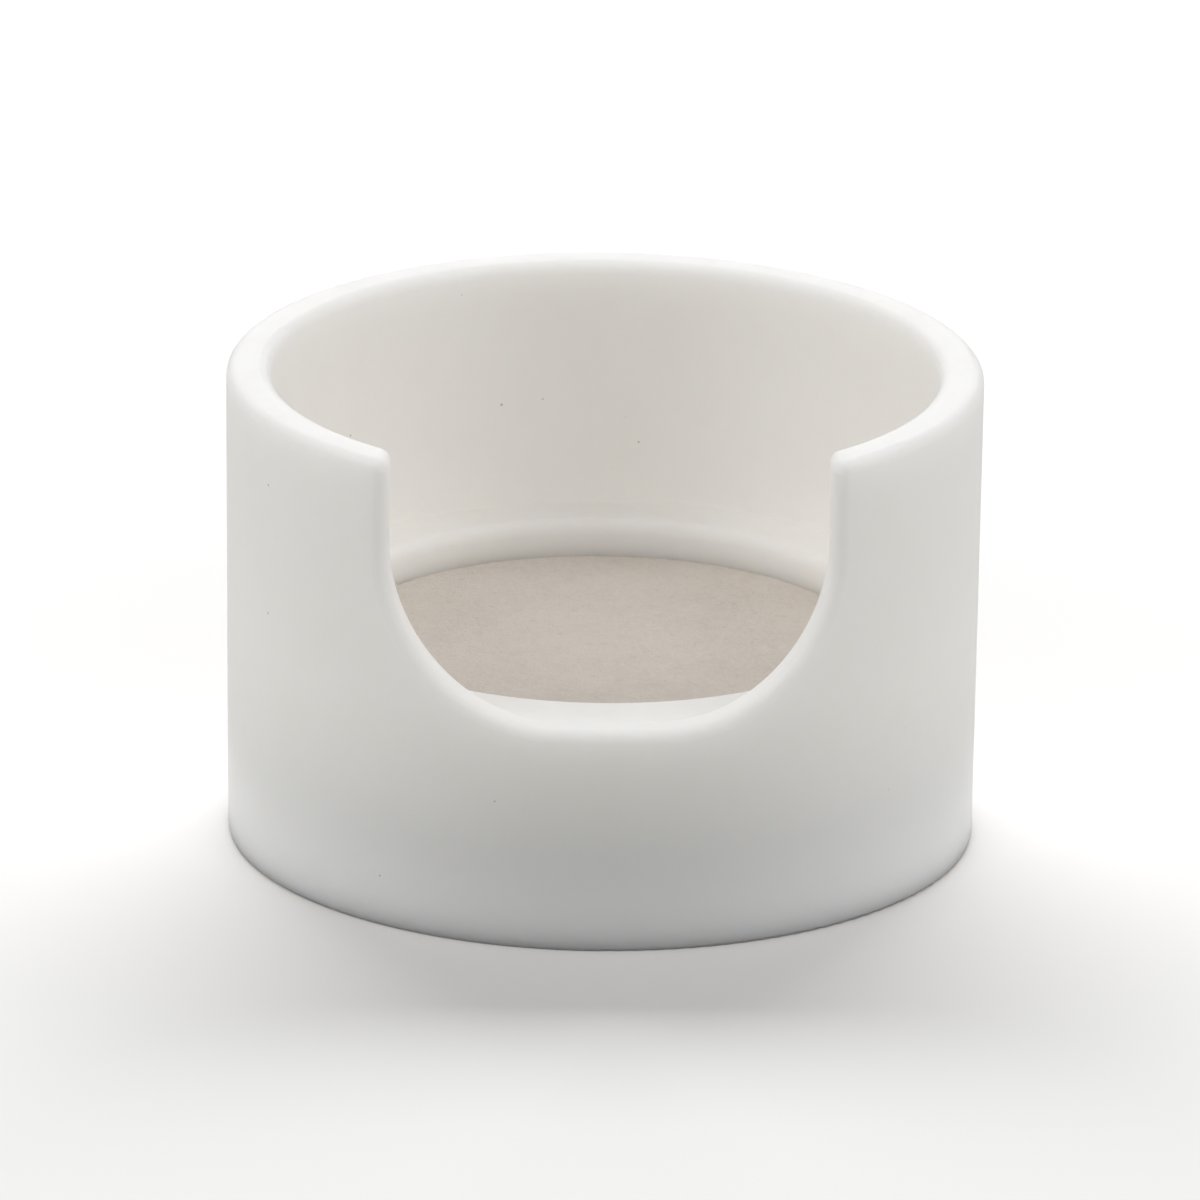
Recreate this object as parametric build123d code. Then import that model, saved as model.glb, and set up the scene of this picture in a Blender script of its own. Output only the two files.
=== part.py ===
from build123d import *

import math
import os

# Head of a Buchner filter funnel: a cup with a U-shaped opening in its wall, a porous filter
# disc, and under the disc what carries it, seals it and drains it.
#
# Millimetres. +Z is up, and the origin is on the bench plane, on the cup's axis. The U-shaped
# opening faces -Y. The pieces stack on that axis:
#
#   filter_cup       wall, inner ledge, stepped filter bore and skirt, turned in one piece
#   filter_disc      porous disc, dropped into the filter bore from above
#   disc_gasket      flat ring under the disc's edge, so that nothing runs past the disc
#   support_plate    perforated plate that keeps the disc from bending under suction
#   collector        foot that plugs into the skirt, with a dish, a drain and an outlet socket
#   collector_oring  ring in the foot's groove, which seals the foot and grips the skirt

# Cup; its outside is cup_taper less in radius at the foot than at the rim
cup_diameter = 60.0
cup_height = 38.4
cup_taper = 0.35
cup_wall = 3.5
ledge_height = 18.1
wall_edge_round = 0.9
bore_edge_round = 1.1
ledge_fillet = 0.4
most_round_per_wall = 0.43
foot_edge_round = 0.3

# U-shaped opening, and how far its sill stands above the ledge
opening_width = 34.4
opening_corner_radius = 12.6
sill_rise = 0.1

# Filter disc, and how far its face lies below the ledge
disc_diameter = 42.8
disc_thickness = 3.0
disc_recess = 2.8
disc_clearance = 0.1
disc_edge_round = 0.25

# Gasket under the disc's edge
gasket_width = 1.8
gasket_thickness = 1.0
gasket_clearance = 0.1

# Perforated plate inside the gasket, level with its top
plate_thickness = 2.0
plate_clearance = 0.15
plate_seat_width = 2.0
plate_edge_round = 0.2
hole_diameter = 2.0
hole_ring_count = 4
hole_rim = 0.8

# Lip under the plate, and the socket in the skirt that takes the collector
lip_thickness = 1.6
skirt_wall = 3.0
socket_chamfer = 0.5

# Collector
collector_clearance = 0.2
collector_edge_chamfer = 0.6
dish_margin = 0.6
dish_slope_deg = 6.5
drain_diameter = 6.0
outlet_diameter = 10.0
outlet_roof = 1.4
outlet_chamfer = 0.5
relief_depth = 1.0
relief_foot_width = 4.0
relief_boss_width = 4.0

# O-ring, and its groove in the collector
oring_section = 2.0
oring_gap = 0.05
groove_side_gap = 0.3

# Radii
cup_radius = cup_diameter / 2
foot_radius = cup_radius - cup_taper
cup_inner_radius = cup_radius - cup_wall
disc_radius = disc_diameter / 2
bore_radius = disc_radius + disc_clearance
gasket_outer_radius = bore_radius - gasket_clearance
gasket_inner_radius = gasket_outer_radius - gasket_width
plate_radius = gasket_inner_radius - 2 * plate_clearance
pocket_radius = plate_radius + plate_clearance
throat_radius = plate_radius - plate_seat_width
socket_radius = cup_radius - skirt_wall
collector_radius = socket_radius - collector_clearance
dish_radius = throat_radius + dish_margin
drain_radius = drain_diameter / 2
outlet_radius = outlet_diameter / 2
oring_ring_radius = socket_radius - oring_gap - oring_section / 2
groove_floor_radius = oring_ring_radius - oring_section / 2 - oring_gap
groove_width = oring_section + 2 * groove_side_gap

# Heights
sill_height = ledge_height + sill_rise
disc_top = ledge_height - disc_recess
disc_bottom = disc_top - disc_thickness
gasket_bottom = disc_bottom - gasket_thickness
plate_bottom = disc_bottom - plate_thickness
collector_top = plate_bottom - lip_thickness
dish_bottom = collector_top - (dish_radius - drain_radius) * math.tan(math.radians(dish_slope_deg))
outlet_top = dish_bottom - outlet_roof
groove_height = collector_top / 2


def turned(*corners):
    """Solid of revolution about Z, from the (radius, height) corners of its section."""
    return revolve(make_face(Plane.XZ * Polyline(*corners, close=True)), Axis.Z)


def rod(radius, bottom, top):
    """Upright cylinder on the axis, between two heights."""
    return Pos(0, 0, bottom) * Cylinder(radius, top - bottom, align=(Align.CENTER, Align.CENTER, Align.MIN))


def points_on(edge):
    """Five points spread along an edge."""
    return [edge @ share for share in (0, 0.25, 0.5, 0.75, 1)]


def edges_round(solid, radius_at, lowest, highest=math.inf):
    """The edges between two heights whose distance from Z is radius_at(height) all along."""
    slack = 1e-3

    def wanted(edge):
        return all(
            abs(math.hypot(point.X, point.Y) - radius_at(point.Z)) < slack
            and lowest - slack < point.Z < highest + slack
            for point in points_on(edge)
        )

    return solid.edges().filter_by(wanted)


def ring_edges(solid, radius, height):
    """The circle at that radius and height."""
    return edges_round(solid, lambda _: radius, height, height)


def outside_radius(height):
    """Radius of the cup's outside, which is drawn in a little towards the foot."""
    return foot_radius + cup_taper * height / cup_height


def rounding(wanted, wall):
    """A rounding's radius, as wanted or as much as its wall leaves room for."""
    return min(wanted, most_round_per_wall * wall)


def wall_opening():
    """Cutter for the U-shaped opening: a flat sill, two wide arcs and upright sides."""
    side = opening_width / 2
    flat = side - opening_corner_radius
    arc_top = sill_height + opening_corner_radius
    open_top = 2 * cup_height
    outline = Curve() + [
        Line((-flat, sill_height), (flat, sill_height)),
        RadiusArc((flat, sill_height), (side, arc_top), -opening_corner_radius),
        Polyline((side, arc_top), (side, open_top), (-side, open_top), (-side, arc_top)),
        RadiusArc((-side, arc_top), (-flat, sill_height), -opening_corner_radius),
    ]
    return extrude(make_face(Plane.XZ * outline), cup_diameter)


def cup_wall_ring():
    """Wall and skirt, with the opening cut and every edge of the wall and opening rounded."""
    wall = turned(
        (socket_radius, 0),
        (foot_radius, 0),
        (cup_radius, cup_height),
        (cup_inner_radius, cup_height),
        (cup_inner_radius, collector_top),
        (socket_radius, collector_top),
    )
    wall -= wall_opening()
    outer = edges_round(wall, outside_radius, ledge_height)
    inner = edges_round(wall, lambda _: cup_inner_radius, ledge_height)
    across = wall.edges().filter_by(GeomType.LINE).filter_by_position(Axis.Z, cup_height, cup_height)
    return fillet(outer + inner + across, rounding(wall_edge_round, cup_wall))


def cup_deck():
    """Ledge, filter bore, seats for the gasket and the plate, and the throat under them."""
    joint_radius = cup_radius - cup_wall / 2
    return turned(
        (throat_radius, collector_top),
        (joint_radius, collector_top),
        (joint_radius, ledge_height),
        (bore_radius, ledge_height),
        (bore_radius, gasket_bottom),
        (pocket_radius, gasket_bottom),
        (pocket_radius, plate_bottom),
        (throat_radius, plate_bottom),
    )


def filter_cup():
    """Cup in one piece."""
    ledge_width = cup_inner_radius - bore_radius
    cup = cup_wall_ring() + cup_deck()
    cup = fillet(ring_edges(cup, cup_inner_radius, ledge_height), rounding(ledge_fillet, ledge_width))
    cup = fillet(ring_edges(cup, bore_radius, ledge_height), rounding(bore_edge_round, ledge_width))
    cup = fillet(ring_edges(cup, foot_radius, 0), foot_edge_round)
    return chamfer(ring_edges(cup, socket_radius, 0), socket_chamfer)


def filter_disc():
    """Porous disc with its two edges barely broken."""
    disc = rod(disc_radius, disc_bottom, disc_top)
    return fillet(disc.edges().filter_by(GeomType.CIRCLE), disc_edge_round)


def disc_gasket():
    """Flat sealing ring."""
    return rod(gasket_outer_radius, gasket_bottom, disc_bottom) - rod(
        gasket_inner_radius, gasket_bottom, disc_bottom
    )


def support_plate():
    """Round plate with a centre hole and rings of 6, 12, 18 and so on around it."""
    plate = rod(plate_radius, plate_bottom, disc_bottom)
    plate = fillet(plate.edges().filter_by(GeomType.CIRCLE), plate_edge_round)
    ring_pitch = (throat_radius - hole_diameter / 2 - hole_rim) / hole_ring_count
    places = [Pos(0, 0)]
    for ring in range(1, hole_ring_count + 1):
        places += PolarLocations(ring * ring_pitch, 6 * ring)
    hole = rod(hole_diameter / 2, plate_bottom, disc_bottom)
    return plate - [place * hole for place in places]


def collector():
    """Foot with a dish that falls to the drain, an outlet socket below it and the groove."""
    relief_outer_radius = collector_radius - relief_foot_width
    relief_inner_radius = outlet_radius + relief_boss_width
    foot = turned(
        (drain_radius, dish_bottom),
        (dish_radius, collector_top),
        (collector_radius, collector_top),
        (collector_radius, groove_height + groove_width / 2),
        (groove_floor_radius, groove_height + groove_width / 2),
        (groove_floor_radius, groove_height - groove_width / 2),
        (collector_radius, groove_height - groove_width / 2),
        (collector_radius, 0),
        (relief_outer_radius, 0),
        (relief_outer_radius, relief_depth),
        (relief_inner_radius, relief_depth),
        (relief_inner_radius, 0),
        (outlet_radius, 0),
        (outlet_radius, outlet_top),
        (drain_radius, outlet_top),
    )
    foot = chamfer(ring_edges(foot, collector_radius, collector_top), collector_edge_chamfer)
    foot = chamfer(ring_edges(foot, outlet_radius, 0), outlet_chamfer)
    return fillet(ring_edges(foot, collector_radius, 0), foot_edge_round)


def collector_oring():
    """Round-section ring that lies in the collector's groove."""
    return Pos(0, 0, groove_height) * Torus(oring_ring_radius, oring_section / 2)


def main():
    """Write one STEP file for each piece."""
    os.makedirs("parts", exist_ok=True)
    for piece in (filter_cup, filter_disc, disc_gasket, support_plate, collector, collector_oring):
        export_step(piece(), f"parts/{piece.__name__}.step")


if __name__ == "__main__":
    main()
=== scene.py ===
"""Visual model of a small notched filter cup with its porous disc, support plate and turned collector foot.

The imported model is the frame: every size and place below is in metres in that frame.
"""

import logging
import math
from dataclasses import dataclass, field
from enum import Enum
from typing import Any

import bmesh
import bpy
from mathutils import Matrix, Vector


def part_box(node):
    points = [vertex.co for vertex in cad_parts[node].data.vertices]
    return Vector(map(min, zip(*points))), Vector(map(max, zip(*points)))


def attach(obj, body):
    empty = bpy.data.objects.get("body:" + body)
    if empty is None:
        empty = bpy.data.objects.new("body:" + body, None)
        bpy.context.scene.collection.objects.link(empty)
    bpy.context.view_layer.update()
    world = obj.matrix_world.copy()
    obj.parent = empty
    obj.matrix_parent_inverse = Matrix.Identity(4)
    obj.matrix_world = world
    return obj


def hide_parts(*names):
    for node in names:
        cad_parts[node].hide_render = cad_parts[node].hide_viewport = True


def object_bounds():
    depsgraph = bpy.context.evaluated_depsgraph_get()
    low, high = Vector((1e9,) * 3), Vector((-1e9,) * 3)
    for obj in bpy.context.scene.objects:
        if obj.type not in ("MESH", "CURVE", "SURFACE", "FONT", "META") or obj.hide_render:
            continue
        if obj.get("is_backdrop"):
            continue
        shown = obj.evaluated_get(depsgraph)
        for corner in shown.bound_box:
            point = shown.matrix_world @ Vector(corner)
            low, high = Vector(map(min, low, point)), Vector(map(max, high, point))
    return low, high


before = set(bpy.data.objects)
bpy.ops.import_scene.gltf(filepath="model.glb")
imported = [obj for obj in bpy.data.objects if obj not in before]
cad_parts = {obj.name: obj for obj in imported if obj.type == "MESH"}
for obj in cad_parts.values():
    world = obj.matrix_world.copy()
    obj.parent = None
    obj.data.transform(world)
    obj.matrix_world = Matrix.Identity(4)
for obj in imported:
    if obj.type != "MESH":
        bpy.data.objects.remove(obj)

LOG = logging.getLogger("filter_cup")
MM = 0.001
SHARP_EDGE_DEG = 60.0

Colour = tuple[float, float, float, float]
Socket = bpy.types.NodeSocket


class Body(Enum):
    """The bodies that pieces ride on."""

    BASE = "base"
    CUP = "cup"
    PLATE = "plate"
    DISC = "disc"


class Slot(Enum):
    """The record's material slots."""

    CUP = "cup_plastic"
    COLLECTOR = "collector_plastic"
    PLATE = "plate_plastic"
    DISC = "porous_disc"
    GASKET = "gasket_rubber"
    ORING = "oring_rubber"


class Reach(Enum):
    """What a light falls on, as the floor's state in the light's own list."""

    FLOOR = "INCLUDE"
    OBJECT = "EXCLUDE"


class Graph:
    """A node tree that is being filled in."""

    def __init__(self, tree: bpy.types.NodeTree) -> None:
        """Keeps the tree to fill."""
        self.tree = tree

    def add(self, kind: str, inputs: dict[Any, Any] | None = None, **settings: Any) -> bpy.types.Node:
        """Adds one node.

        Args:
            kind: The node's type name.
            inputs: Values or sockets for its inputs, by name or number.
            settings: The node's own properties.

        Returns:
            The new node.
        """
        node = self.tree.nodes.new(kind)
        for name, value in settings.items():
            setattr(node, name, value)
        for key, value in (inputs or {}).items():
            if isinstance(value, Socket):
                self.tree.links.new(value, node.inputs[key])
            else:
                node.inputs[key].default_value = value
        return node

    def math(self, operation: str, *values: Any, clamp: bool = False) -> Socket:
        """Adds a Math node and returns its result.

        Args:
            operation: The node's operation.
            values: Numbers or sockets, in the order of its inputs.
            clamp: Whether the result is kept between 0 and 1.

        Returns:
            The result's socket.
        """
        inputs = dict(enumerate(values))
        return self.add("ShaderNodeMath", inputs, operation=operation, use_clamp=clamp).outputs[0]

    def vector(self, operation: str, *values: Any) -> bpy.types.Node:
        """Adds a Vector Math node with these inputs."""
        return self.add("ShaderNodeVectorMath", dict(enumerate(values)), operation=operation)

    def spread(self, value: Socket, low: float, high: float, start: Any, end: Any) -> Socket:
        """Maps a value smoothly from one range to another.

        Args:
            value: The value to map.
            low: Where the range starts.
            high: Where the range ends.
            start: The result at low, a number or socket.
            end: The result at high, a number or socket.

        Returns:
            The mapped value's socket.
        """
        inputs = {"Value": value, "From Min": low, "From Max": high, "To Min": start, "To Max": end}
        return self.add("ShaderNodeMapRange", inputs, interpolation_type="SMOOTHSTEP").outputs[0]

    def blend(self, factor: Socket, first: Any, second: Any) -> Socket:
        """Mixes two colours by a factor.

        Args:
            factor: 0 for the first colour and 1 for the second.
            first: A colour or socket.
            second: A colour or socket.

        Returns:
            The mixed colour's socket.
        """
        node = self.add("ShaderNodeMix", data_type="RGBA", clamp_factor=True)
        for place, value in ((0, factor), (6, first), (7, second)):
            if isinstance(value, Socket):
                self.tree.links.new(value, node.inputs[place])
            else:
                node.inputs[place].default_value = value
        return node.outputs[2]

    def noise(self, place: Socket, scale: Any, detail: float = 2.0, roughness: float = 0.5) -> Socket:
        """Adds a noise and returns its value.

        Args:
            place: Where the noise is read.
            scale: Waves per metre, a number or socket.
            detail: How many finer layers it has.
            roughness: How strong the finer layers are.

        Returns:
            The noise's socket, from 0 to 1.
        """
        inputs = {"Vector": place, "Scale": scale, "Detail": detail, "Roughness": roughness}
        return self.add("ShaderNodeTexNoise", inputs).outputs[0]


class Effects:
    """The surface effects that several materials share, each built once as a node group."""

    def __init__(self) -> None:
        """Builds the groups."""
        self.cloud = self._cloud()
        self.specks = self._specks()
        self.turning = self._turning()
        self.grain = self._grain()
        self.dust = self._dust()

    @staticmethod
    def _group(name: str, values: dict[str, float],
               results: tuple[str, ...]) -> tuple[Graph, dict[str, Socket], bpy.types.Node]:
        """Starts a group that has a Vector input and named values.

        Args:
            name: The group's name.
            values: Its number inputs and their defaults.
            results: Its number outputs.

        Returns:
            The graph, the input sockets by name, and the output node.
        """
        tree = bpy.data.node_groups.new(name, "ShaderNodeTree")
        tree.interface.new_socket("Vector", in_out="INPUT", socket_type="NodeSocketVector")
        for label, value in values.items():
            made = tree.interface.new_socket(label, in_out="INPUT", socket_type="NodeSocketFloat")
            made.default_value = value
        for label in results:
            tree.interface.new_socket(label, in_out="OUTPUT", socket_type="NodeSocketFloat")
        graph = Graph(tree)
        entry = graph.add("NodeGroupInput")
        sockets = {s.name: s for s in entry.outputs if s.name}
        return graph, sockets, graph.add("NodeGroupOutput")

    def _cloud(self) -> bpy.types.NodeTree:
        """Soft uneven tone, as in thick milky plastic or fired clay."""
        graph, given, out = self._group("cloudy_tone", {"Scale": 60.0, "Contrast": 1.0}, ("Mask",))
        finer_by, finer_share = 4.3, 0.45
        broad = graph.noise(given["Vector"], given["Scale"], 2.0, 0.5)
        finer = graph.noise(given["Vector"], graph.math("MULTIPLY", given["Scale"], finer_by), 3.0, 0.6)
        both = graph.math("MULTIPLY_ADD", graph.math("SUBTRACT", finer, 0.5), finer_share, broad)
        centred = graph.math("SUBTRACT", both, 0.5)
        mask = graph.math("MULTIPLY_ADD", centred, given["Contrast"], 0.5, clamp=True)
        graph.tree.links.new(mask, out.inputs["Mask"])
        return graph.tree

    def _specks(self) -> bpy.types.NodeTree:
        """Scattered small specks, one in some of the cells of a grid."""
        values = {"Scale": 300.0, "Share": 0.1, "Size": 0.12}
        graph, given, out = self._group("specks", values, ("Mask",))
        cells = graph.add("ShaderNodeTexVoronoi", {"Vector": given["Vector"], "Scale": given["Scale"]})
        least_size, edge_hardness = 0.35, 2.2
        pick = graph.add("ShaderNodeSeparateColor", {"Color": cells.outputs["Color"]})
        chosen = graph.math("LESS_THAN", pick.outputs[0], given["Share"])
        reach = graph.math("MULTIPLY", given["Size"], graph.math("ADD", pick.outputs[1], least_size))
        share = graph.math("DIVIDE", cells.outputs["Distance"], reach)
        inside = graph.math("SUBTRACT", 1.0, share, clamp=True)
        mask = graph.math("MULTIPLY", chosen, graph.math("MULTIPLY", inside, edge_hardness, clamp=True))
        graph.tree.links.new(mask, out.inputs["Mask"])
        return graph.tree

    def _turning(self) -> bpy.types.NodeTree:
        """Fine rings round the vertical axis, as a lathe tool leaves them."""
        values = {"Pitch": 2500.0, "Waver": 0.3}
        graph, given, out = self._group("turning_marks", values, ("Height", "Streak"))
        parts = graph.add("ShaderNodeSeparateXYZ", {0: given["Vector"]})
        flat = graph.add("ShaderNodeCombineXYZ", {0: parts.outputs[0], 1: parts.outputs[1]})
        radius = graph.vector("LENGTH", flat.outputs[0]).outputs["Value"]
        waver_scale, broad_by = 90.0, 0.22
        shift = graph.math("MULTIPLY", graph.noise(given["Vector"], waver_scale, 1.0), given["Waver"])
        shift = graph.math("DIVIDE", shift, given["Pitch"])
        across = graph.add("ShaderNodeCombineXYZ", {0: graph.math("ADD", radius, shift), 1: parts.outputs[2]})
        fine = graph.noise(across.outputs[0], given["Pitch"], 2.0, 0.6)
        broad = graph.noise(across.outputs[0], graph.math("MULTIPLY", given["Pitch"], broad_by), 2.0, 0.5)
        graph.tree.links.new(fine, out.inputs["Height"])
        graph.tree.links.new(broad, out.inputs["Streak"])
        return graph.tree

    def _grain(self) -> bpy.types.NodeTree:
        """Close grain of pressed or sintered stuff, with small pits between the grains."""
        values = {"Scale": 3000.0, "Pits": 0.5}
        graph, given, out = self._group("close_grain", values, ("Height", "Mask"))
        cells = graph.add("ShaderNodeTexVoronoi", {"Vector": given["Vector"], "Scale": given["Scale"]})
        finer_by = 1.7
        round_top = graph.math("SUBTRACT", 1.0, cells.outputs["Distance"])
        fine = graph.noise(given["Vector"], graph.math("MULTIPLY", given["Scale"], finer_by), 3.0, 0.65)
        pit = graph.spread(fine, 0.30, 0.46, 1.0, 0.0)
        deep = graph.math("MULTIPLY", pit, given["Pits"])
        height = graph.math("SUBTRACT", graph.math("MULTIPLY_ADD", fine, 0.6, round_top), deep)
        tone = graph.add("ShaderNodeSeparateColor", {"Color": cells.outputs["Color"]})
        graph.tree.links.new(height, out.inputs["Height"])
        mask = graph.math("MULTIPLY_ADD", fine, 0.5, graph.math("MULTIPLY", tone.outputs[0], 0.5))
        graph.tree.links.new(mask, out.inputs["Mask"])
        return graph.tree

    def _dust(self) -> bpy.types.NodeTree:
        """Thin dust and handling marks that lie mostly on faces turned upward."""
        graph, given, out = self._group("dust", {"Scale": 220.0, "Upward": 0.6}, ("Mask",))
        everywhere = 0.25
        facing = graph.add("ShaderNodeNewGeometry").outputs["Normal"]
        upward = graph.add("ShaderNodeSeparateXYZ", {0: facing}).outputs[2]
        settled = graph.math("MULTIPLY", graph.math("MAXIMUM", upward, 0.0), given["Upward"])
        patch = graph.spread(graph.noise(given["Vector"], given["Scale"], 5.0, 0.65), 0.42, 0.72, 0.0, 1.0)
        mask = graph.math("MULTIPLY", patch, graph.math("ADD", settled, everywhere), clamp=True)
        graph.tree.links.new(mask, out.inputs["Mask"])
        return graph.tree


@dataclass(frozen=True)
class Finish:
    """What every finish has: a name and a way to start its material."""

    name: str

    def start(self) -> tuple[bpy.types.Material, Graph, bpy.types.Node, Socket]:
        """Starts the material.

        Returns:
            The material, its graph, its shader and the object coordinates.
        """
        material = bpy.data.materials.new(self.name)
        material.use_nodes = True
        material.node_tree.nodes.clear()
        graph = Graph(material.node_tree)
        shader = graph.add("ShaderNodeBsdfPrincipled")
        out = graph.add("ShaderNodeOutputMaterial", {"Surface": shader.outputs[0]})
        out.is_active_output = True
        return material, graph, shader, graph.add("ShaderNodeTexCoord").outputs["Object"]

    @staticmethod
    def use(graph: Graph, group: bpy.types.NodeTree, place: Socket, **values: float) -> bpy.types.Node:
        """Places a shared effect.

        Args:
            graph: The material's graph.
            group: The effect.
            place: Where it is read.
            values: Its own values by input name.

        Returns:
            The group's node.
        """
        node = graph.add("ShaderNodeGroup", node_tree=group)
        graph.tree.links.new(place, node.inputs["Vector"])
        for name, value in values.items():
            node.inputs[name].default_value = value
        return node

    @staticmethod
    def raise_by(graph: Graph, height: Socket, depth: float, under: Socket | None = None) -> Socket:
        """Turns a height into a normal.

        Args:
            graph: The material's graph.
            height: The height, from about 0 to 1.
            depth: How deep 1 is, in metres.
            under: The normal it is laid on.

        Returns:
            The normal's socket.
        """
        inputs: dict[Any, Any] = {"Height": height, "Distance": depth, "Strength": 1.0}
        if under is not None:
            inputs["Normal"] = under
        return graph.add("ShaderNodeBump", inputs).outputs["Normal"]


@dataclass(frozen=True)
class MilkyPlastic(Finish):
    """Thick white fluoroplastic, slightly translucent, moulded or turned."""

    light: Colour = (0.976, 0.936, 0.902, 1.0)
    dark: Colour = (0.955, 0.907, 0.868, 1.0)
    cloud_scale: float = 55.0
    cloud_contrast: float = 1.6
    speck: Colour = (0.30, 0.29, 0.26, 1.0)
    speck_share: float = 0.03
    speck_scale: float = 900.0
    speck_size: float = 0.11
    speck_strength: float = 0.5
    dusty: Colour = (0.74, 0.73, 0.70, 1.0)
    dust_scale: float = 260.0
    dust_strength: float = 0.10
    dust_dulls: float = 0.16
    smooth: float = 0.34
    rough: float = 0.50
    marks_depth: float = 0.004 * MM
    marks_pitch: float = 1600.0
    peel_scale: float = 1900.0
    peel_share: float = 1.5
    refraction: float = 1.35
    shine: float = 0.18
    translucence: float = 1.0
    reach: float = 6.5 * MM
    reach_by_colour: tuple[float, float, float] = (1.0, 0.94, 0.88)

    def build(self, effects: Effects) -> bpy.types.Material:
        """Builds the material.

        Args:
            effects: The shared effects.

        Returns:
            The finished material.
        """
        material, graph, shader, place = self.start()
        cloud = self.use(graph, effects.cloud, place, Scale=self.cloud_scale, Contrast=self.cloud_contrast)
        body = graph.blend(cloud.outputs["Mask"], self.dark, self.light)
        specks = self.use(graph, effects.specks, place, Scale=self.speck_scale, Share=self.speck_share,
                          Size=self.speck_size)
        specked = graph.math("MULTIPLY", specks.outputs["Mask"], self.speck_strength)
        body = graph.blend(specked, body, self.speck)
        dust = self.use(graph, effects.dust, place, Scale=self.dust_scale, Upward=0.7).outputs["Mask"]
        body = graph.blend(graph.math("MULTIPLY", dust, self.dust_strength), body, self.dusty)
        graph.tree.links.new(body, shader.inputs["Base Color"])
        turning = self.use(graph, effects.turning, place, Pitch=self.marks_pitch, Waver=0.25)
        cloudy = graph.math("MULTIPLY", cloud.outputs["Mask"], 0.4)
        tone = graph.math("MULTIPLY_ADD", turning.outputs["Streak"], 0.6, cloudy)
        gloss = graph.spread(tone, 0.25, 0.75, self.smooth, self.rough)
        gloss = graph.math("MULTIPLY_ADD", dust, self.dust_dulls, gloss, clamp=True)
        graph.tree.links.new(gloss, shader.inputs["Roughness"])
        peel = graph.noise(place, self.peel_scale, 3.0, 0.55)
        normal = self.raise_by(graph, peel, self.marks_depth * self.peel_share)
        normal = self.raise_by(graph, turning.outputs["Height"], self.marks_depth, normal)
        graph.tree.links.new(normal, shader.inputs["Normal"])
        shader.inputs["IOR"].default_value = self.refraction
        shader.inputs["Specular IOR Level"].default_value = self.shine
        shader.inputs["Subsurface Weight"].default_value = self.translucence
        shader.inputs["Subsurface Radius"].default_value = self.reach_by_colour
        shader.inputs["Subsurface Scale"].default_value = self.reach
        return material


@dataclass(frozen=True)
class SinteredDisc(Finish):
    """Unglazed porous stuff: warm taupe, speckled, pitted and dead matt."""

    light: Colour = (0.69, 0.64, 0.585, 1.0)
    dark: Colour = (0.63, 0.58, 0.525, 1.0)
    pale: Colour = (0.75, 0.71, 0.665, 1.0)
    pore: Colour = (0.44, 0.40, 0.35, 1.0)
    cloud_scale: float = 150.0
    cloud_contrast: float = 1.7
    grain_scale: float = 3600.0
    grain_pits: float = 0.9
    grain_depth: float = 0.03 * MM
    grain_tone: float = 0.26
    pore_scale: float = 900.0
    pore_strength: float = 0.14
    fleck_scale: float = 800.0
    fleck_strength: float = 0.18
    fleck_shift: tuple[float, float, float] = (0.37, 0.11, 0.2)
    shine: float = 0.3

    def build(self, effects: Effects) -> bpy.types.Material:
        """Builds the material.

        Args:
            effects: The shared effects.

        Returns:
            The finished material.
        """
        material, graph, shader, place = self.start()
        cloud = self.use(graph, effects.cloud, place, Scale=self.cloud_scale, Contrast=self.cloud_contrast)
        body = graph.blend(cloud.outputs["Mask"], self.dark, self.light)
        grain = self.use(graph, effects.grain, place, Scale=self.grain_scale, Pits=self.grain_pits)
        tone = graph.spread(grain.outputs["Mask"], 0.25, 0.75, 0.0, 1.0)
        body = graph.blend(graph.math("MULTIPLY", tone, self.grain_tone), body, self.pale)
        pores = self.use(graph, effects.specks, place, Scale=self.pore_scale, Share=0.22, Size=0.34)
        pored = graph.math("MULTIPLY", pores.outputs["Mask"], self.pore_strength)
        body = graph.blend(pored, body, self.pore)
        beside = graph.vector("ADD", place, self.fleck_shift).outputs[0]
        flecks = self.use(graph, effects.specks, beside, Scale=self.fleck_scale, Share=0.16, Size=0.30)
        flecked = graph.math("MULTIPLY", flecks.outputs["Mask"], self.fleck_strength)
        body = graph.blend(flecked, body, self.pale)
        graph.tree.links.new(body, shader.inputs["Base Color"])
        gloss = graph.spread(grain.outputs["Mask"], 0.2, 0.8, 0.96, 0.80)
        graph.tree.links.new(gloss, shader.inputs["Roughness"])
        normal = self.raise_by(graph, grain.outputs["Height"], self.grain_depth)
        graph.tree.links.new(normal, shader.inputs["Normal"])
        shader.inputs["Specular IOR Level"].default_value = self.shine
        return material


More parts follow.
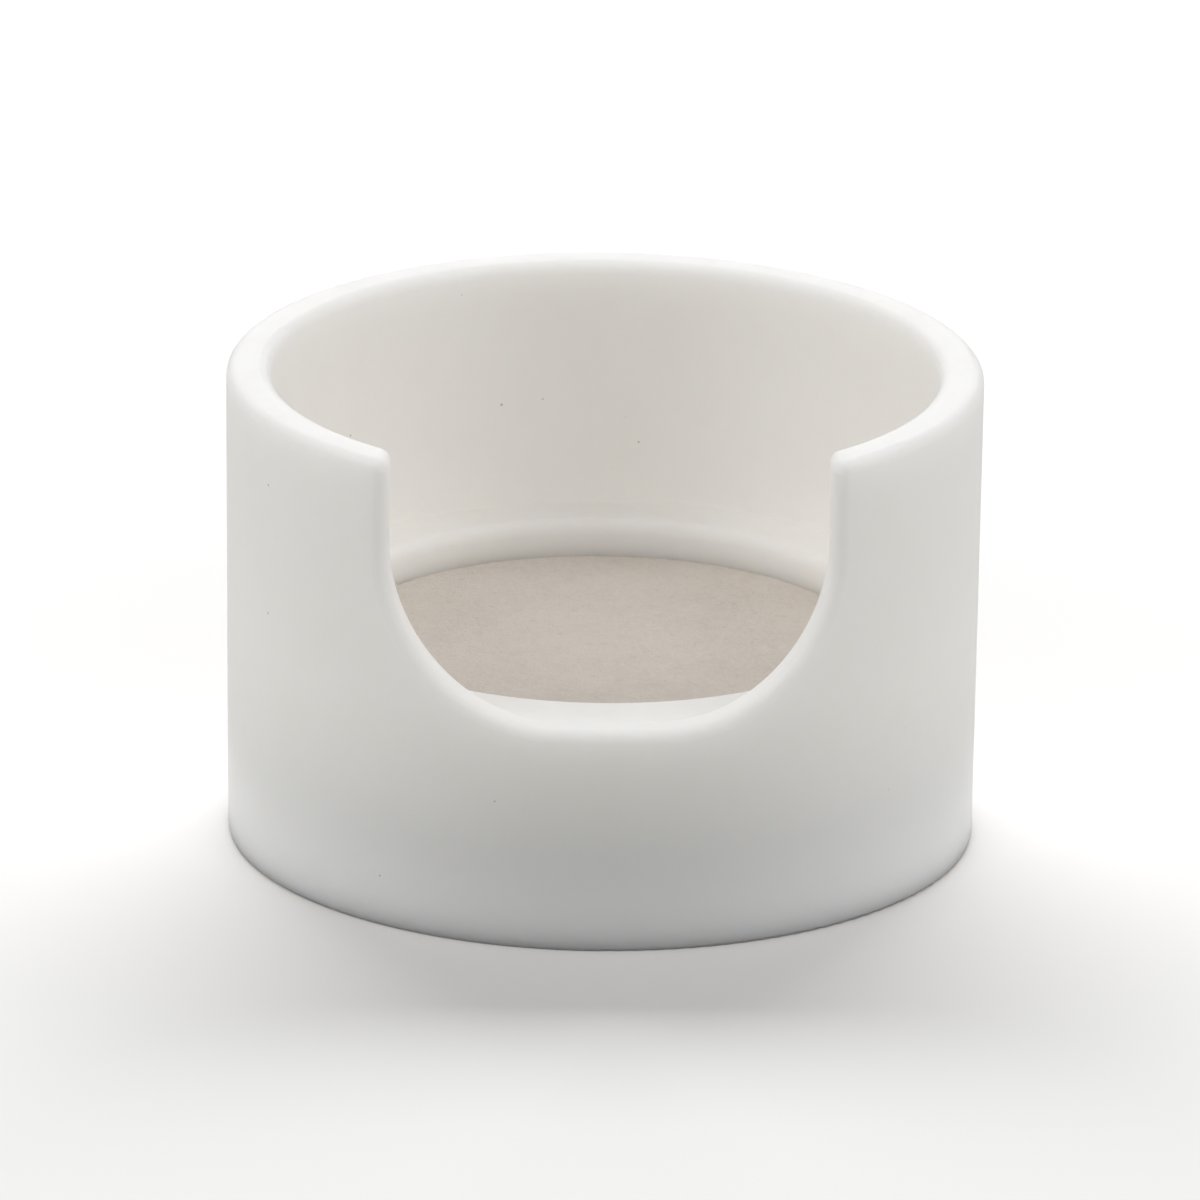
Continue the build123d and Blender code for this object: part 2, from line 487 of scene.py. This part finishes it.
@dataclass(frozen=True)
class Rubber(Finish):
    """Moulded rubber with bloom and fine grain."""

    fresh: Colour = (0.62, 0.60, 0.56, 1.0)
    bloomed: Colour = (0.68, 0.66, 0.63, 1.0)
    smooth: float = 0.55
    rough: float = 0.80
    bloom_scale: float = 240.0
    bloom_contrast: float = 2.2
    dust_scale: float = 700.0
    dust_strength: float = 0.3
    grain_scale: float = 5200.0
    grain_depth: float = 0.012 * MM

    def build(self, effects: Effects) -> bpy.types.Material:
        """Builds the material.

        Args:
            effects: The shared effects.

        Returns:
            The finished material.
        """
        material, graph, shader, place = self.start()
        cloud = self.use(graph, effects.cloud, place, Scale=self.bloom_scale, Contrast=self.bloom_contrast)
        bloom = cloud.outputs["Mask"]
        body = graph.blend(bloom, self.fresh, self.bloomed)
        dust = self.use(graph, effects.dust, place, Scale=self.dust_scale, Upward=0.8).outputs["Mask"]
        body = graph.blend(graph.math("MULTIPLY", dust, self.dust_strength), body, self.bloomed)
        graph.tree.links.new(body, shader.inputs["Base Color"])
        gloss = graph.spread(bloom, 0.2, 0.8, self.smooth, self.rough)
        graph.tree.links.new(gloss, shader.inputs["Roughness"])
        grain = self.use(graph, effects.grain, place, Scale=self.grain_scale, Pits=0.2).outputs["Height"]
        graph.tree.links.new(self.raise_by(graph, grain, self.grain_depth), shader.inputs["Normal"])
        return material


@dataclass(frozen=True)
class PaleFloor(Finish):
    """Plain pale board, with a faint ring of light round the object that only the object receives."""

    tone: Colour = (0.93, 0.93, 0.93, 1.0)
    worn: Colour = (0.915, 0.915, 0.915, 1.0)
    bounce: Colour = (0.58, 0.57, 0.55, 1.0)
    glow: float = 0.56
    glow_start: float = 29.0 * MM
    glow_inner: float = 34.0 * MM
    glow_outer: float = 47.0 * MM
    dullness: float = 0.9
    shine: float = 0.1

    def build(self, effects: Effects) -> bpy.types.Material:
        """Builds the material.

        Args:
            effects: The shared effects.

        Returns:
            The finished material.
        """
        material, graph, shader, place = self.start()
        cloud = self.use(graph, effects.cloud, place, Scale=3.0, Contrast=1.0).outputs["Mask"]
        seen = graph.add("ShaderNodeLightPath").outputs["Is Camera Ray"]
        body = graph.blend(seen, self.bounce, graph.blend(cloud, self.worn, self.tone))
        graph.tree.links.new(body, shader.inputs["Base Color"])
        away = graph.vector("LENGTH", place).outputs["Value"]
        glow = graph.spread(away, self.glow_inner, self.glow_outer, self.glow, 0.0)
        glow = graph.math("MULTIPLY", glow, graph.spread(away, self.glow_start, self.glow_inner, 0.0, 1.0))
        unseen = graph.math("SUBTRACT", 1.0, seen)
        graph.tree.links.new(graph.math("MULTIPLY", glow, unseen), shader.inputs["Emission Strength"])
        shader.inputs["Roughness"].default_value = self.dullness
        shader.inputs["Specular IOR Level"].default_value = self.shine
        return material


@dataclass
class Paint:
    """Every material of the object, built once."""

    effects: Effects = field(default_factory=Effects)

    def __post_init__(self) -> None:
        """Builds the materials."""
        self.cup = MilkyPlastic("cup_milky_plastic").build(self.effects)
        self.foot = MilkyPlastic("foot_turned_plastic", speck_share=0.02, marks_depth=0.009 * MM,
                                 marks_pitch=2100.0).build(self.effects)
        self.plate = MilkyPlastic("plate_turned_plastic", speck_share=0.015,
                                  marks_depth=0.006 * MM).build(self.effects)
        self.disc = SinteredDisc("sintered_disc").build(self.effects)
        self.gasket = Rubber("pale_rubber").build(self.effects)
        self.oring = Rubber("black_rubber", fresh=(0.022, 0.022, 0.024, 1.0),
                            bloomed=(0.05, 0.05, 0.052, 1.0), smooth=0.38, rough=0.58).build(self.effects)
        self.floor = PaleFloor("pale_board").build(self.effects)


def rounded(corners: list[tuple[float, float, float]], steps: int) -> list[tuple[float, float]]:
    """Rounds the corners of a closed outline.

    Args:
        corners: Radius, height and rounding of each corner, in metres, in order.
        steps: How many straight runs a rounding has.

    Returns:
        The outline's points.
    """
    points: list[tuple[float, float]] = []
    for i, (r, z, size) in enumerate(corners):
        here = Vector((r, z))
        before = Vector(corners[i - 1][:2]) - here
        after = Vector(corners[(i + 1) % len(corners)][:2]) - here
        if size <= 0:
            points.append((r, z))
            continue
        half = before.angle(after) / 2
        reach = size / math.tan(half)
        middle = here + (before.normalized() + after.normalized()).normalized() * size / math.sin(half)
        first = here + before.normalized() * reach - middle
        last = here + after.normalized() * reach - middle
        turn = first.angle_signed(last)
        for step in range(steps + 1):
            angle = -turn * step / steps
            spun = Matrix.Rotation(angle, 2) @ first
            points.append(tuple(middle + spun))
    return points


def turned_mesh(name: str, outline: list[tuple[float, float]], segments: int) -> bpy.types.Mesh:
    """Turns a closed outline round the vertical axis.

    Args:
        name: The mesh's name.
        outline: Radius and height of each point, none on the axis.
        segments: How many runs go round.

    Returns:
        The mesh, with its faces outward.
    """
    made = bmesh.new()
    rings = []
    for step in range(segments):
        angle = 2 * math.pi * step / segments
        rings.append([made.verts.new((r * math.cos(angle), r * math.sin(angle), z)) for r, z in outline])
    count = len(outline)
    for step in range(segments):
        here, there = rings[step], rings[(step + 1) % segments]
        for i in range(count):
            j = (i + 1) % count
            made.faces.new((here[i], there[i], there[j], here[j]))
    bmesh.ops.recalc_face_normals(made, faces=made.faces)
    for part in made.faces:
        part.smooth = True
    mesh = bpy.data.meshes.new(name)
    made.to_mesh(mesh)
    made.free()
    return mesh


def settle(mesh: bpy.types.Mesh, name: str, body: Body, paint: bpy.types.Material,
           stands_for: str) -> bpy.types.Object:
    """Makes a finished piece of a mesh.

    Args:
        mesh: The piece's mesh, in place.
        name: The piece's name.
        body: The body it rides on.
        paint: Its material.
        stands_for: The node it replaces.

    Returns:
        The new piece.
    """
    piece = bpy.data.objects.new(name, mesh)
    bpy.context.scene.collection.objects.link(piece)
    mesh.materials.clear()
    mesh.materials.append(paint)
    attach(piece, body.value)
    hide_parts(stands_for)
    report(piece)
    return piece


def report(piece: bpy.types.Object) -> None:
    """Logs a piece's name and face count."""
    LOG.info("piece %s: %d faces", piece.name, len(piece.data.polygons))


def soften(piece: bpy.types.Object) -> None:
    """Shades a mesh smooth, with its large faces leading and its real edges kept."""
    piece.data.shade_smooth()
    piece.data.set_sharp_from_angle(angle=math.radians(SHARP_EDGE_DEG))
    weighted = piece.modifiers.new("even_normals", "WEIGHTED_NORMAL")
    weighted.mode = "FACE_AREA_WITH_ANGLE"
    weighted.keep_sharp = True


class GrowthTree:
    """A geometry tree with named number inputs, run once to make a mesh."""

    def __init__(self, name: str, values: dict[str, float | int]) -> None:
        """Starts the tree.

        Args:
            name: The tree's name.
            values: Its inputs, where a whole number makes a whole-number input.
        """
        self.tree = bpy.data.node_groups.new(name, "GeometryNodeTree")
        self.tree.is_modifier = True
        self.values = values
        for label, value in values.items():
            kind = "NodeSocketInt" if isinstance(value, int) else "NodeSocketFloat"
            self.tree.interface.new_socket(label, in_out="INPUT", socket_type=kind)
        self.tree.interface.new_socket("Geometry", in_out="OUTPUT", socket_type="NodeSocketGeometry")
        self.graph = Graph(self.tree)
        entry = self.graph.add("NodeGroupInput")
        self.given = {s.name: s for s in entry.outputs if s.name}

    def close(self, geometry: Socket, paint: bpy.types.Material) -> None:
        """Ends the tree.

        Args:
            geometry: The finished geometry.
            paint: Its material.
        """
        real = self.graph.add("GeometryNodeRealizeInstances", {0: geometry}).outputs[0]
        painted = self.graph.add("GeometryNodeSetMaterial", {"Geometry": real, "Material": paint})
        self.graph.add("NodeGroupOutput", {"Geometry": painted.outputs[0]})

    def grow(self, name: str) -> bpy.types.Mesh:
        """Runs the tree.

        Args:
            name: The mesh's name.

        Returns:
            The mesh it makes.
        """
        holder = bpy.data.objects.new(name + "_grower", bpy.data.meshes.new(name + "_seed"))
        bpy.context.scene.collection.objects.link(holder)
        modifier = holder.modifiers.new("growth", "NODES")
        modifier.node_group = self.tree
        for item in self.tree.interface.items_tree:
            if item.item_type == "SOCKET" and item.in_out == "INPUT":
                modifier[item.identifier] = self.values[item.name]
        shown = holder.evaluated_get(bpy.context.evaluated_depsgraph_get())
        mesh = bpy.data.meshes.new_from_object(shown)
        mesh.name = name
        holder.modifiers.remove(modifier)
        bpy.data.objects.remove(holder)
        return mesh


@dataclass
class FilterCup:
    """The notched cup and the gasket on its inner lip."""

    gasket_inner: float = 19.6 * MM
    gasket_outer: float = 21.4 * MM
    gasket_round: float = 0.22 * MM
    round_steps: int = 4
    segments: int = 192

    def build(self, paint: Paint) -> None:
        """Builds and dresses both pieces.

        Args:
            paint: The materials.
        """
        self._cup(paint)
        self._gasket(paint)

    def _cup(self, paint: Paint) -> None:
        """Dresses the cup's own solid."""
        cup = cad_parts["filter_cup"]
        cup.data.materials.clear()
        cup.data.materials.append(paint.cup)
        report(cup)

    def _gasket(self, paint: Paint) -> None:
        """Builds the flat ring under the disc's edge."""
        low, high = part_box("disc_gasket")
        size = self.gasket_round
        corners = [(self.gasket_inner, low.z, size), (self.gasket_outer, low.z, size),
                   (self.gasket_outer, high.z, size), (self.gasket_inner, high.z, size)]
        mesh = turned_mesh("gasket_ring", rounded(corners, self.round_steps), self.segments)
        settle(mesh, "gasket_ring", Body.CUP, paint.gasket, "disc_gasket")


@dataclass
class PorousDisc:
    """The sintered disc, its faces broken up by grain."""

    cells: int = 168
    layers: int = 7
    rim_round: float = 0.28 * MM
    relief: float = 0.035 * MM
    grain_scale: float = 1500.0

    def build(self, paint: Paint) -> None:
        """Grows and dresses the disc.

        Args:
            paint: The materials.
        """
        low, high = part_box("filter_disc")
        tree = self._tree((high.x - low.x) / 2, high.z - low.z, high.z, paint.disc)
        mesh = tree.grow("porous_disc_body")
        settle(mesh, "porous_disc_body", Body.DISC, paint.disc, "filter_disc")

    def _tree(self, radius: float, thickness: float, top: float, paint: bpy.types.Material) -> GrowthTree:
        """Builds the tree: a block of fine cells is drawn into a round disc, and its skin sinks by a noise.

        Args:
            radius: The disc's radius.
            thickness: Its thickness.
            top: Height of its upper face.
            paint: Its material.

        Returns:
            The tree.
        """
        tree = GrowthTree("disc_growth", {
            "Radius": radius, "Thickness": thickness, "Top": top, "Rim Round": self.rim_round,
            "Relief": self.relief, "Grain Scale": self.grain_scale, "Cells": self.cells,
            "Layers": self.layers,
        })
        graph, given = tree.graph, tree.given
        block = graph.add("GeometryNodeMeshCube", {
            "Size": (2.0, 2.0, 2.0), "Vertices X": given["Cells"], "Vertices Y": given["Cells"],
            "Vertices Z": given["Layers"],
        })
        place = graph.add("GeometryNodeInputPosition").outputs[0]
        axes = graph.add("ShaderNodeSeparateXYZ", {0: place})
        x, y, level = axes.outputs
        drawn_x = self._drawn(graph, x, y)
        drawn_y = self._drawn(graph, y, x)
        flat = graph.add("ShaderNodeCombineXYZ", {0: drawn_x, 1: drawn_y}).outputs[0]
        reach = graph.vector("LENGTH", flat).outputs["Value"]
        past = graph.math("SUBTRACT", graph.math("MULTIPLY", reach, given["Radius"]), given["Radius"])
        past = graph.math("MAXIMUM", graph.math("ADD", past, given["Rim Round"]), 0.0)
        squared = graph.math("POWER", given["Rim Round"], 2.0)
        left = graph.math("SUBTRACT", squared, graph.math("POWER", past, 2.0))
        left = graph.math("SQRT", graph.math("MAXIMUM", left, 0.0))
        drop = graph.math("SUBTRACT", given["Rim Round"], left)
        half = graph.math("MULTIPLY", given["Thickness"], 0.5)
        height = graph.math("MULTIPLY", level, graph.math("SUBTRACT", half, drop))
        smooth = graph.add("ShaderNodeCombineXYZ", {
            0: graph.math("MULTIPLY", drawn_x, given["Radius"]),
            1: graph.math("MULTIPLY", drawn_y, given["Radius"]), 2: height,
        }).outputs[0]
        sunk = graph.noise(smooth, given["Grain Scale"], 4.0, 0.62)
        sunk = graph.math("MULTIPLY", graph.spread(sunk, 0.25, 0.75, 0.0, 1.0), given["Relief"])
        inward = graph.math("SUBTRACT", given["Radius"], sunk)
        outermost = graph.math("GREATER_THAN", graph.math("ABSOLUTE", level), 0.99)
        face = graph.math("MULTIPLY", graph.math("SIGN", level), outermost)
        height = graph.math("SUBTRACT", height, graph.math("MULTIPLY", face, sunk))
        centre = graph.math("SUBTRACT", given["Top"], half)
        final = graph.add("ShaderNodeCombineXYZ", {
            0: graph.math("MULTIPLY", drawn_x, inward), 1: graph.math("MULTIPLY", drawn_y, inward),
            2: graph.math("ADD", height, centre),
        }).outputs[0]
        moved = graph.add("GeometryNodeSetPosition", {"Geometry": block.outputs["Mesh"], "Position": final})
        shaded = graph.add("GeometryNodeSetShadeSmooth", {0: moved.outputs[0], 2: True})
        tree.close(shaded.outputs[0], paint)
        return tree

    @staticmethod
    def _drawn(graph: Graph, along: Socket, across: Socket) -> Socket:
        """Draws a square's coordinate into a circle.

        Args:
            graph: The tree's graph.
            along: The coordinate, from -1 to 1.
            across: The other coordinate.

        Returns:
            The drawn coordinate.
        """
        share = graph.math("MULTIPLY", graph.math("POWER", graph.math("ABSOLUTE", across), 2.0), 0.5)
        return graph.math("MULTIPLY", along, graph.math("SQRT", graph.math("SUBTRACT", 1.0, share)))


@dataclass
class SupportPlate:
    """The perforated plate inside the gasket."""

    hole_radius: float = 1.0 * MM
    ring_pitch: float = 3.875 * MM
    rings: int = 4
    hole_sides: int = 24
    rim_sides: int = 160
    edge_round: float = 0.16 * MM
    edge_steps: int = 2
    edge_least_deg: float = 50.0
    weld: float = 0.001 * MM

    def build(self, paint: Paint) -> None:
        """Grows and dresses the plate.

        Args:
            paint: The materials.
        """
        low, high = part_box("support_plate")
        tree = self._tree((high.x - low.x) / 2, low.z, high.z - low.z, paint.plate)
        mesh = tree.grow("perforated_plate")
        piece = settle(mesh, "perforated_plate", Body.PLATE, paint.plate, "support_plate")
        bevel = piece.modifiers.new("eased_edges", "BEVEL")
        bevel.width = self.edge_round
        bevel.segments = self.edge_steps
        bevel.limit_method = "ANGLE"
        bevel.angle_limit = math.radians(self.edge_least_deg)
        soften(piece)

    def _tree(self, radius: float, bottom: float, thickness: float, paint: bpy.types.Material) -> GrowthTree:
        """Builds the tree: rings of holes in a round sheet, which is then drawn up into a plate.

        Args:
            radius: The plate's radius.
            bottom: Height of its lower face.
            thickness: Its thickness.
            paint: Its material.

        Returns:
            The tree.
        """
        tree = GrowthTree("plate_growth", {
            "Radius": radius, "Bottom": bottom, "Thickness": thickness, "Hole Radius": self.hole_radius,
            "Ring Pitch": self.ring_pitch, "Rings": self.rings, "Hole Sides": self.hole_sides,
            "Rim Sides": self.rim_sides,
        })
        graph, given = tree.graph, tree.given
        holes = self._hole_places(graph, given)
        hole = graph.add("GeometryNodeCurvePrimitiveCircle", {"Resolution": given["Hole Sides"],
                                                              "Radius": given["Hole Radius"]})
        cut = graph.add("GeometryNodeInstanceOnPoints", {"Points": holes, "Instance": hole.outputs[0]})
        cut = graph.add("GeometryNodeRealizeInstances", {0: cut.outputs[0]})
        rim = graph.add("GeometryNodeCurvePrimitiveCircle", {"Resolution": given["Rim Sides"],
                                                             "Radius": given["Radius"]})
        joined = graph.add("GeometryNodeJoinGeometry")
        graph.tree.links.new(cut.outputs[0], joined.inputs[0])
        graph.tree.links.new(rim.outputs[0], joined.inputs[0])
        sheet = graph.add("GeometryNodeFillCurve", {"Curve": joined.outputs[0]}, mode="TRIANGLES")
        up = graph.add("ShaderNodeCombineXYZ", {2: 1.0}).outputs[0]
        raised = graph.add("GeometryNodeExtrudeMesh", {
            "Mesh": sheet.outputs[0], "Offset": up, "Offset Scale": given["Thickness"], "Individual": False,
        })
        under = graph.add("GeometryNodeFlipFaces", {0: sheet.outputs[0]})
        both = graph.add("GeometryNodeJoinGeometry")
        graph.tree.links.new(raised.outputs[0], both.inputs[0])
        graph.tree.links.new(under.outputs[0], both.inputs[0])
        closed = graph.add("GeometryNodeMergeByDistance", {
            "Geometry": both.outputs[0], "Distance": self.weld,
        })
        lift = graph.add("ShaderNodeCombineXYZ", {2: given["Bottom"]}).outputs[0]
        placed = graph.add("GeometryNodeSetPosition", {"Geometry": closed.outputs[0], "Offset": lift})
        tree.close(placed.outputs[0], paint)
        return tree

    @staticmethod
    def _hole_places(graph: Graph, given: dict[str, Socket]) -> Socket:
        """Places one hole in the middle and six more in each ring than in the last.

        Args:
            graph: The tree's graph.
            given: The tree's inputs.

        Returns:
            The points.
        """
        rings = given["Rings"]
        count = graph.math("MULTIPLY", graph.math("MULTIPLY", rings, graph.math("ADD", rings, 1.0)), 3.0)
        points = graph.add("GeometryNodePoints", {"Count": graph.math("ADD", count, 1.0)})
        index = graph.add("GeometryNodeInputIndex").outputs[0]
        root = graph.math("SQRT", graph.math("MULTIPLY_ADD", index, 4.0 / 3.0, 1.0))
        ring = graph.math("CEIL", graph.math("MULTIPLY_ADD", root, 0.5, -0.5001))
        before = graph.math("MULTIPLY", graph.math("MULTIPLY", ring, graph.math("SUBTRACT", ring, 1.0)), 3.0)
        place = graph.math("SUBTRACT", graph.math("SUBTRACT", index, before), 1.0)
        share = graph.math("DIVIDE", place, graph.math("MAXIMUM", graph.math("MULTIPLY", ring, 6.0), 1.0))
        angle = graph.math("MULTIPLY", share, 2 * math.pi)
        radius = graph.math("MULTIPLY", ring, given["Ring Pitch"])
        spot = graph.add("ShaderNodeCombineXYZ", {
            0: graph.math("MULTIPLY", radius, graph.math("COSINE", angle)),
            1: graph.math("MULTIPLY", radius, graph.math("SINE", angle)),
        })
        moved = graph.add("GeometryNodeSetPosition", {
            "Geometry": points.outputs[0], "Position": spot.outputs[0],
        })
        return moved.outputs[0]


@dataclass
class CollectorFoot:
    """The turned foot that closes the cup from below, and its O-ring."""

    rim_radius: float = 26.8 * MM
    dish_radius: float = 17.9 * MM
    dish_depth: float = 1.698 * MM
    drain_radius: float = 3.0 * MM
    outlet_radius: float = 5.0 * MM
    outlet_depth: float = 3.098 * MM
    relief_inner: float = 9.0 * MM
    relief_outer: float = 22.8 * MM
    relief_depth: float = 1.0 * MM
    groove_floor: float = 24.9 * MM
    groove_half: float = 1.3 * MM
    edge: float = 0.6 * MM
    outlet_edge: float = 0.3 * MM
    fine_edge: float = 0.12 * MM
    round_steps: int = 5
    oring_centre: float = 25.95 * MM
    oring_half_section: float = 1.0 * MM
    oring_sides: int = 28
    mould_line: float = 0.015 * MM
    segments: int = 224

    def build(self, paint: Paint) -> None:
        """Builds and dresses both pieces.

        Args:
            paint: The materials.
        """
        low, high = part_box("collector")
        self._foot(paint, low.z, high.z)
        self._oring(paint)

    def _foot(self, paint: Paint, bottom: float, top: float) -> None:
        """Turns the foot.

        Args:
            paint: The materials.
            bottom: Height of its underside.
            top: Height of its rim.
        """
        middle = (bottom + top) / 2
        groove_low, groove_high = middle - self.groove_half, middle + self.groove_half
        fine = self.fine_edge
        relief = bottom + self.relief_depth
        outlet_top = top - self.outlet_depth
        corners = [
            (self.outlet_radius, bottom, self.outlet_edge), (self.relief_inner, bottom, fine),
            (self.relief_inner, relief, fine), (self.relief_outer, relief, fine),
            (self.relief_outer, bottom, fine), (self.rim_radius, bottom, self.edge),
            (self.rim_radius, groove_low, fine), (self.groove_floor, groove_low, fine),
            (self.groove_floor, groove_high, fine), (self.rim_radius, groove_high, fine),
            (self.rim_radius, top, self.edge), (self.dish_radius, top, fine),
            (self.drain_radius, top - self.dish_depth, fine), (self.drain_radius, outlet_top, fine),
            (self.outlet_radius, outlet_top, fine),
        ]
        mesh = turned_mesh("turned_foot", rounded(corners, self.round_steps), self.segments)
        piece = settle(mesh, "turned_foot", Body.BASE, paint.foot, "collector")
        soften(piece)

    def _oring(self, paint: Paint) -> None:
        """Builds the O-ring with its thin mould line."""
        low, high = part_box("collector_oring")
        centre = (low.z + high.z) / 2
        outline = []
        for step in range(self.oring_sides):
            angle = 2 * math.pi * step / self.oring_sides
            size = self.oring_half_section - (0.0 if step == 0 else self.mould_line)
            outline.append((self.oring_centre + size * math.cos(angle), centre + size * math.sin(angle)))
        mesh = turned_mesh("seal_ring", outline, self.segments)
        settle(mesh, "seal_ring", Body.BASE, paint.oring, "collector_oring")


@dataclass(frozen=True)
class Lamp:
    """One soft light: where it hangs, its width and height, its power in watts, and what it lights."""

    name: str
    place: tuple[float, float, float]
    size: tuple[float, float]
    power: float
    reach: Reach


@dataclass
class Studio:
    """Floor, soft lights and camera."""

    lens: float = 543.8
    distance: float = 1.44
    elevation_deg: float = 19.12
    azimuth_deg: float = -1.3
    roll_deg: float = 0.68
    aim_right: float = -0.205 * MM
    aim_up: float = -0.355 * MM
    floor_size: float = 6.0
    floor_gap: float = 0.02 * MM
    surround: float = 0.34
    aim_height: float = 20.0 * MM
    sensor: float = 36.0
    floor: bpy.types.Object | None = None
    lamps: tuple[Lamp, ...] = (
        Lamp("top_light", (0.0, 0.0, 0.95), (0.9, 0.9), 1.7, Reach.OBJECT),
        Lamp("back_light", (0.0, 0.75, 0.75), (0.9, 0.6), 0.4, Reach.OBJECT),
        Lamp("low_back_light", (0.0, 0.95, 0.35), (0.9, 0.4), 2.0, Reach.OBJECT),
        Lamp("left_light", (-0.7, 0.0, 0.70), (0.5, 0.5), 2.85, Reach.OBJECT),
        Lamp("right_light", (0.7, 0.0, 0.70), (0.5, 0.5), 2.85, Reach.OBJECT),
        Lamp("floor_back_light", (0.0, 0.70, 0.62), (0.9, 0.5), 8.8, Reach.FLOOR),
        Lamp("floor_front_light", (0.0, -0.8, 0.6), (1.2, 0.5), 3.0, Reach.FLOOR),
    )

    def build(self, paint: Paint) -> None:
        """Sets up everything round the object.

        Args:
            paint: The materials.
        """
        self._floor(paint)
        self._sky()
        for lamp in self.lamps:
            self._hang(lamp)
        self._camera()
        bpy.context.scene.view_settings.view_transform = "Standard"

    def _floor(self, paint: Paint) -> None:
        """Lays the pale board."""
        mesh = bpy.data.meshes.new("pale_floor")
        half = self.floor_size / 2
        low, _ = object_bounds()
        level = low.z - self.floor_gap
        corners = [(-half, -half, level), (half, -half, level), (half, half, level), (-half, half, level)]
        mesh.from_pydata(corners, [], [(0, 1, 2, 3)])
        mesh.materials.append(paint.floor)
        self.floor = bpy.data.objects.new("pale_floor", mesh)
        bpy.context.scene.collection.objects.link(self.floor)
        self.floor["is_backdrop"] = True

    def _sky(self) -> None:
        """Sets a surround that looks white and gives an even, dimmer light."""
        world = bpy.data.worlds.new("studio")
        world.use_nodes = True
        bpy.context.scene.world = world
        world.node_tree.nodes.clear()
        graph = Graph(world.node_tree)
        seen = graph.add("ShaderNodeLightPath").outputs["Is Camera Ray"]
        dim = graph.add("ShaderNodeBackground", {"Color": (1.0, 0.99, 0.98, 1.0), "Strength": self.surround})
        white = graph.add("ShaderNodeBackground", {"Color": (1.0, 1.0, 1.0, 1.0), "Strength": 1.0})
        mixed = graph.add("ShaderNodeMixShader", {0: seen, 1: dim.outputs[0], 2: white.outputs[0]})
        graph.add("ShaderNodeOutputWorld", {"Surface": mixed.outputs[0]})

    def _hang(self, lamp: Lamp) -> None:
        """Hangs one soft light that faces the object.

        Args:
            lamp: The light.
        """
        data = bpy.data.lights.new(lamp.name, "AREA")
        data.shape = "RECTANGLE"
        data.size, data.size_y = lamp.size
        data.energy = lamp.power
        light = bpy.data.objects.new(lamp.name, data)
        light.location = lamp.place
        toward = Vector((0.0, 0.0, self.aim_height)) - Vector(lamp.place)
        light.rotation_euler = toward.to_track_quat("-Z", "Y").to_euler()
        bpy.context.scene.collection.objects.link(light)
        lit = bpy.data.collections.new(lamp.name + "_lit")
        lit.objects.link(self.floor)
        lit.collection_objects[0].light_linking.link_state = lamp.reach.value
        light.light_linking.receiver_collection = lit

    def _camera(self) -> None:
        """Sets up the camera."""
        low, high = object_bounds()
        centre = (low + high) / 2
        azimuth, elevation = math.radians(self.azimuth_deg), math.radians(self.elevation_deg)
        back = Vector((math.sin(azimuth) * math.cos(elevation), -math.cos(azimuth) * math.cos(elevation),
                       math.sin(elevation)))
        stand = centre + back * self.distance
        right = Vector((math.cos(azimuth), math.sin(azimuth), 0.0))
        up = back.cross(right)
        aim = centre + right * self.aim_right + up * self.aim_up
        data = bpy.data.cameras.new("camera")
        data.lens = self.lens
        data.sensor_width = self.sensor
        camera = bpy.data.objects.new("camera", data)
        turn = (aim - stand).to_track_quat("-Z", "Y").to_matrix().to_4x4()
        roll = Matrix.Rotation(math.radians(self.roll_deg), 4, "Z")
        camera.matrix_world = Matrix.Translation(stand) @ turn @ roll
        bpy.context.scene.collection.objects.link(camera)
        bpy.context.scene.camera = camera


def main() -> None:
    """Builds the object's pieces in order, and the studio round them."""
    logging.basicConfig(level=logging.INFO, format="%(name)s: %(message)s")
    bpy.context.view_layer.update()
    paint = Paint()
    for assembly in (FilterCup(), PorousDisc(), SupportPlate(), CollectorFoot()):
        LOG.info("building %s", type(assembly).__name__)
        assembly.build(paint)
    Studio().build(paint)


if __name__ == "__main__":
    main()
